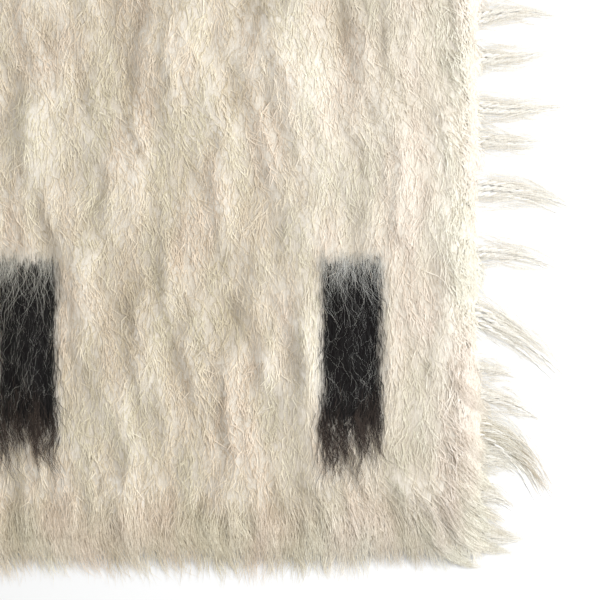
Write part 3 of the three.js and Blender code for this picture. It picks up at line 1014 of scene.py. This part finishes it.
def corner_locks(rng):
    """The hairs of the swept locks, drawn together towards each tip and laid down onto the floor."""
    points = 6
    share = np.linspace(0, 1, points)[None]
    paths = []
    for lock in CORNER_LOCKS:
        count = lock["hairs"]
        root, tip = np.array(lock["root"]), np.array(lock["tip"])
        ahead = unit((tip - root).astype(float))
        aside = np.array([ahead[1], -ahead[0]])
        start = rng.uniform(-0.3, 0.3, (count, 1))
        along = start + (rng.uniform(0.7, 1.05, (count, 1)) - start) * share
        place = root + along[:, :, None] * (tip - root)
        spread = lock["wide"] * rng.normal(0, 0.42, (count, 1)) * (1 - 0.6 * np.clip(along, 0, 1))
        wave = 1.5 * np.sin(TAU * (2.2 * along + rng.uniform(0, 1, (count, 1))))
        off = spread + wave + 4 * lock["bow"] * along * (1 - along)
        place = (place + off[:, :, None] * aside) * MM
        x, y = place[:, :, 0], place[:, :, 1]
        past = np.clip(np.hypot(np.maximum(x - HALF_ACROSS, 0), np.maximum(FOOT - y, 0)) / (24 * MM), 0, 1)
        high = pile_top(np.minimum(x, HALF_ACROSS), np.maximum(y, FOOT))
        high = high + (2 + 2 * np.sin(math.pi * share)) * MM
        z = high * (1 - past) + 1.5 * MM * past - 3 * MM * (1 - share) ** 3
        paths.append(np.stack([x, y, np.maximum(z + rng.normal(0, 0.5, z.shape) * MM, LOWEST)], -1))
    return np.concatenate(paths)


def loose_hair(name, paths, width, rng, material, mirror=False, shade=0.55, tilt=0.35):
    """Hairs that lie free, from their paths, with their shades from 0 to 1 and their flat sides' tilt."""
    count, points, _ = paths.shape
    if mirror:
        paths = paths * [-1, 1, 1]
    share = np.arange(points - 1) / (points - 1)
    half = 0.5 * width * rng.uniform(0.6, 1.3, count)[:, None] * (1 - 0.5 * share**2)[None]
    ahead = unit(paths[:, -1] - paths[:, 0])
    level = unit(np.array([0, 0, 1.0]) + rng.normal(0, tilt, (count, 3)) * [1, 1, 0])
    level = unit(level - ahead * (ahead * level).sum(-1, keepdims=True))
    facing = np.repeat(level[:, None], points, 1)
    tone = np.clip(rng.normal(shade, 0.16, count), 0.02, 0.98)
    return hair_mesh(name, paths, half, facing, tone, material)


def fringe_wool():
    """Loosely plied, felted yarn ends: nearly white, matt, their fibres 0.8 by 5 mm along them."""
    material, tree, shader = new_material("felted yarn ends")
    place = node(tree, "ShaderNodeTexCoord").outputs["Object"]
    fibre = grain(tree, place, (5 * MM, 0.8 * MM, 0.8 * MM), detail=3.0)
    colour = shaded(tree, (fibre, (0.3, linear(0xEEEBE4)), (0.7, linear(0xFDFCF9))))
    raised = {"Strength": 0.4, "Distance": 0.6 * MM, "Height": fibre}
    feed(tree, shader, colour, {"Roughness": 0.9, "Specular IOR Level": 0.15, "Sheen Weight": 0.2}, raised)
    return material


FRINGE = fringe_wool()

HEADER_THICK = 5.2 * MM
# The header's section: each corner's place across it and its height, as shares
HEADER_SECTION = ((0, 0), (1, 0), (1, 0.55), (0.72, 1), (0.28, 1), (0, 0.8))


def header_box():
    """The header strip that holds the tufts, as corners and faces of a softly crowned bar."""
    lines = 120
    each = len(HEADER_SECTION)
    corners = []
    faces = [tuple(range(each)), tuple(lines * each + n for n in reversed(range(each)))]
    for n, along in enumerate(np.linspace(FOOT, HEAD, lines + 1)):
        crown = HEADER_THICK * (1 + 0.08 * even(n + 300))
        for across, share in HEADER_SECTION:
            high = share * (crown if share == 1 else HEADER_THICK)
            corners.append((HEADER_IN + across * HEADER_WIDTH, along, high))
    for n in range(lines):
        for m in range(each):
            a, b = n * each + m, n * each + (m + 1) % each
            faces.append((a, a + each, b + each, b))
    return corners, faces


def fringe(name, tufts, key, mirror, fuzz_count):
    """One end's header and yarn ends, the loose wool round them, and the pile that leans out over them."""
    rng = np.random.default_rng(key)
    lines, hairs, extra = [], [], []
    for n, tuft in enumerate(tufts):
        for yarn in range(tuft["yarns"]):
            lines += yarn_plies(tuft, yarn, key + n * 7)
        hairs.append(tuft_hairs(tuft, rng))
        if tuft["dusty"]:
            dull = tuft_hairs(tuft, rng)[::2]
            extra.append(loose_hair(f"{name}_dull_fibres", dull, 0.45 * MM, rng, CREAM, mirror, 0.05))
    corners, faces = header_box()
    more, more_faces = tubes(lines)
    faces += [tuple(c + len(corners) for c in face) for face in more_faces]
    corners = np.array(corners + more)
    if mirror:
        corners = corners * [-1, 1, 1]
        faces = [face[::-1] for face in faces]
    yarns = shown(name, closed_mesh(name, corners, faces), FRINGE)
    wrap = loose_hair(f"{name}_fibres", np.concatenate(hairs), 0.3 * MM, rng, FRINGE_HAIR, mirror)
    # The rim fuzz gets a light tone of 0.8: painted light, like the paler rims.
    fuzz = loose_hair(f"{name}_rim_fuzz", rim_fuzz(rng, fuzz_count), 0.8 * MM, rng, CREAM, mirror, 0.8, 0.08)
    return yarns, [wrap, *extra], fuzz


cloth = shown("ground_cloth", ground_cloth(), woven_wool())
lower = shown("pile_mat", pile_mat(), lower_pile())
swept = np.random.default_rng(97)
hairs = [
    *pile_layer("hair", COMBED, seed=51, parts=1), *pile_layer("fibres", CRIMPED, seed=61, parts=4),
    *over_bars(),
    loose_hair("corner_locks", corner_locks(swept), 0.35 * MM, swept, CREAM, shade=0.7),
    loose_hair("head_hair", head_hair(swept, count=1800), 0.5 * MM, swept, CREAM, tilt=0.2),
]
hanging = foot_hair(swept, count=8600)
# The foot hairs take the painted light and shade of the pile where they lie.
shades = painted_light_tone(hanging[:, 1, 0], np.maximum(hanging[:, 1, 1], FOOT))
hairs.append(loose_hair("foot_hair", hanging, 0.42 * MM, swept, CREAM, shade=shades, tilt=0.2))
right, right_hair, right_fuzz = fringe(
    "fringe_yarns_right", end_tufts(TUFTS, first=516), key=1, mirror=False, fuzz_count=7400
)
left, left_hair, left_fuzz = fringe(
    "fringe_yarns_left", end_tufts([], first=14), key=900, mirror=True, fuzz_count=4200
)
hairs += [right_fuzz, left_fuzz]
loose_ends = [right, left, *right_hair, *left_hair]

for piece in [cloth, lower, *hairs]:
    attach(piece, "root")
for piece in loose_ends:
    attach(piece, "root")
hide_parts("pile_cloth")
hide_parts("fringe_right")
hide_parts("fringe_left")


def stage():
    """A plain white floor, soft light from the upper right, and a camera above the photographed corner."""
    bpy.ops.mesh.primitive_plane_add(size=8)
    floor = bpy.context.object
    floor.name = "floor"
    white, _, shader = new_material("matt white paper")
    shader.inputs["Base Color"].default_value = (0.84, 0.84, 0.84, 1)
    shader.inputs["Roughness"].default_value = 0.9
    floor.data.materials.append(white)

    world = bpy.data.worlds.new("soft room")
    world.use_nodes = True
    room = world.node_tree.nodes["Background"].inputs
    room["Color"].default_value = (1, 0.99, 0.975, 1)
    room["Strength"].default_value = 0.52
    bpy.context.scene.world = world

    lamp = bpy.data.lights.new("window", "AREA")
    lamp.shape = "RECTANGLE"
    lamp.size = lamp.size_y = 1.7
    lamp.energy = 42
    lamp.color = (0.97, 0.985, 1.0)
    key = bpy.data.objects.new("window", lamp)
    aim = Vector((0.28, -0.18, 0))
    key.location = (1.3, 0.12, 1.35)
    key.rotation_euler = (aim - key.location).to_track_quat("-Z", "Y").to_euler()
    bpy.context.collection.objects.link(key)

    photo_span = 540 * MM
    photo_middle = (246.2 * MM, -194.5 * MM)
    high = 1.8
    camera = bpy.data.objects.new("camera", bpy.data.cameras.new("camera"))
    camera.data.lens = camera.data.sensor_width * high / photo_span
    camera.location = (*photo_middle, high + 12 * MM)
    bpy.context.collection.objects.link(camera)
    bpy.context.scene.camera = camera
    bpy.context.scene.view_settings.view_transform = "Standard"


stage()
